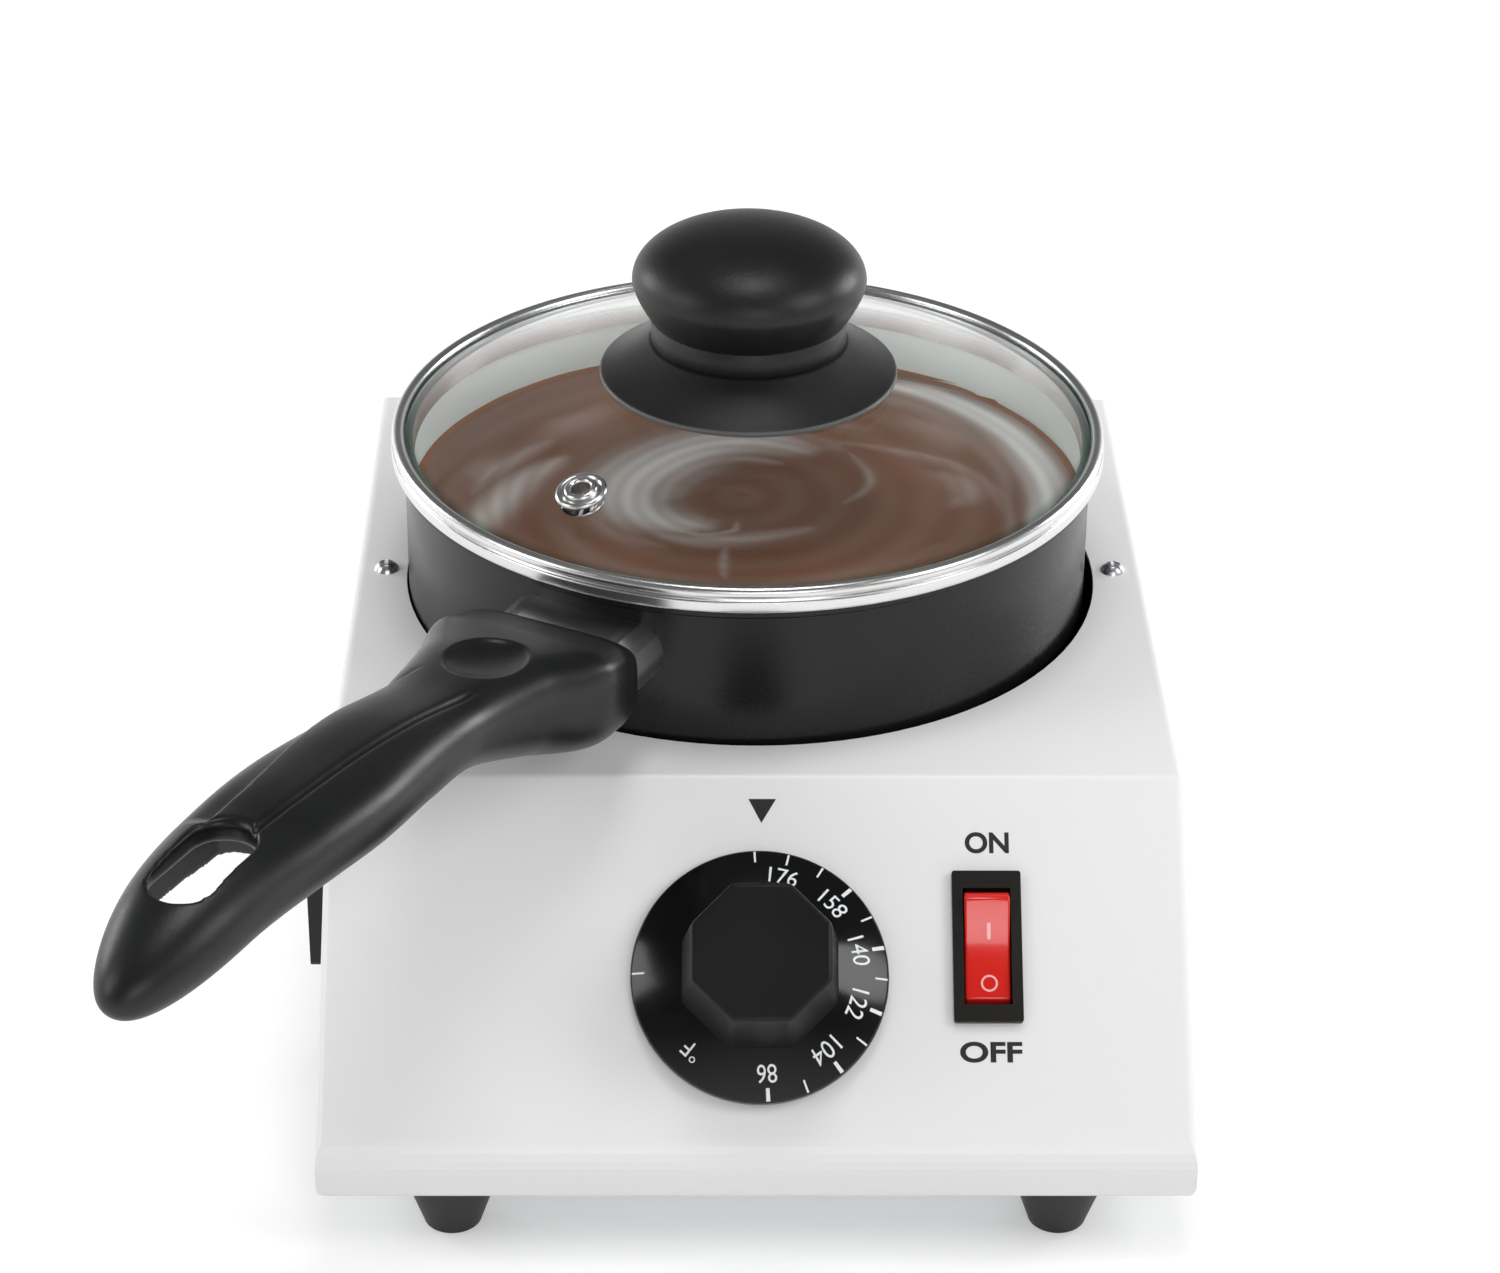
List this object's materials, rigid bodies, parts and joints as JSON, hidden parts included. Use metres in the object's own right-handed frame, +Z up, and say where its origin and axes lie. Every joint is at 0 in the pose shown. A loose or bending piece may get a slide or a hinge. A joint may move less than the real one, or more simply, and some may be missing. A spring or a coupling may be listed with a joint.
{
  "type": "electric chocolate melting pot",
  "caption": "Bench-top electric chocolate melting pot: white sheet-metal case with sloping control panel, lift-out black pan with side handle, and domed glass lid with mushroom knob.",
  "frame": {"origin": "middle of the bounding box, at the height of the table", "axes": "+Z up, -Y towards the front (control panel), +X to the right when facing the panel"},
  "size_m": [0.2102, 0.3154, 0.1641],
  "materials": {
    "case_white": "powder coat, satin",
    "zinc_plate": "zinc plated",
    "bright_fastener": "bright plated",
    "foot_rubber": "moulded rubber",
    "black_trim": "moulded, satin",
    "well_metal": "dark heat-proof coat",
    "heater_metal": "cast, dull",
    "terminal_brass": "bare",
    "insulation": "pressed ceramic fibre",
    "sensor_copper": "bare copper",
    "thermostat_case": "moulded",
    "shaft_steel": "turned",
    "dial_black": "gloss skirt, satin grip",
    "switch_black": "moulded, satin",
    "rocker_red": "clear red",
    "lamp_glass": "clear",
    "block_white": "moulded",
    "wire_brown": "insulation",
    "wire_blue": "insulation",
    "wire_green": "insulation",
    "pan_black": "black coat, satin",
    "bracket_steel": "plated",
    "ferrule_metal": "dark polished",
    "handle_black": "heat-proof moulding, satin",
    "melted_chocolate": "wet gloss",
    "lid_clear": "clear",
    "band_steel": "polished",
    "knob_black": "heat-proof moulding, satin",
    "gasket_rubber": "silicone"
  },
  "bodies": {
    "case": {"case_shell": "case_white", "base_plate": "zinc_plate", "base_screws": "bright_fastener", "foot_front_left": "foot_rubber", "foot_front_right": "foot_rubber", "foot_back_left": "foot_rubber", "foot_back_right": "foot_rubber", "foot_screws": "bright_fastener", "foot_nuts": "bright_fastener", "side_clip": "black_trim", "well": "well_metal", "well_screws": "bright_fastener", "well_nuts": "bright_fastener", "heater_disc": "heater_metal", "heater_terminals": "terminal_brass", "insulation_disc": "insulation", "heater_clamp": "zinc_plate", "heater_nut": "bright_fastener", "temperature_sensor": "sensor_copper", "sensor_clip": "bright_fastener", "thermostat_body": "thermostat_case", "thermostat_terminals": "terminal_brass", "thermostat_screws": "bright_fastener", "switch_housing": "switch_black", "switch_terminals": "terminal_brass", "inlet_bush": "black_trim", "terminal_block": "block_white", "terminal_screw": "bright_fastener", "earth_screw": "bright_fastener", "wire_live": "wire_brown", "wire_neutral": "wire_blue", "wire_earth": "wire_green"},
    "dial": {"thermostat_shaft": "shaft_steel", "dial_insert": "terminal_brass", "dial_knob": "dial_black"},
    "rocker": {"rocker": "rocker_red", "rocker_lamp": "lamp_glass"},
    "contact": {"switch_contact": "terminal_brass"},
    "pan": {"pan_body": "pan_black", "pan_bracket": "bracket_steel", "pan_ferrule": "ferrule_metal", "pan_handle": "handle_black", "handle_screw": "bright_fastener", "chocolate": "melted_chocolate"},
    "lid": {"lid_glass": "lid_clear", "lid_band": "band_steel", "lid_vent": "band_steel", "knob_disc": "knob_black", "knob_head": "knob_black", "knob_insert": "terminal_brass", "knob_gasket": "gasket_rubber", "knob_washer": "bright_fastener", "knob_screw": "bright_fastener"}
  },
  "joints": [
    {"name": "pan_lift", "type": "slide", "parent": "case", "child": "pan", "axis": [0, 0, 1], "range_m": [0, 0.08]},
    {"name": "lid_lift", "type": "slide", "parent": "pan", "child": "lid", "axis": [0, 0, 1], "range_m": [0, 0.06]},
    {"name": "dial_turn", "type": "hinge", "parent": "case", "child": "dial", "pos_m": [0.01571, -0.0573, 0.04961], "axis": [0, -0.6788, 0.7343], "range_deg": [-2.5, 271]},
    {"name": "rocker_tilt", "type": "hinge", "parent": "case", "child": "rocker", "pos_m": [0.06281, -0.05075, 0.05239], "axis": [-1, 0, 0], "range_deg": [0, 18]},
    {"name": "contact_tilt", "type": "hinge", "parent": "case", "child": "contact", "pos_m": [0.06281, -0.04281, 0.0438], "axis": [-1, 0, 0], "range_deg": [-15, 0]}
  ],
  "couplings": [
    {"joint": "contact_tilt", "follows": "rocker_tilt", "ratio": -0.8}
  ]
}
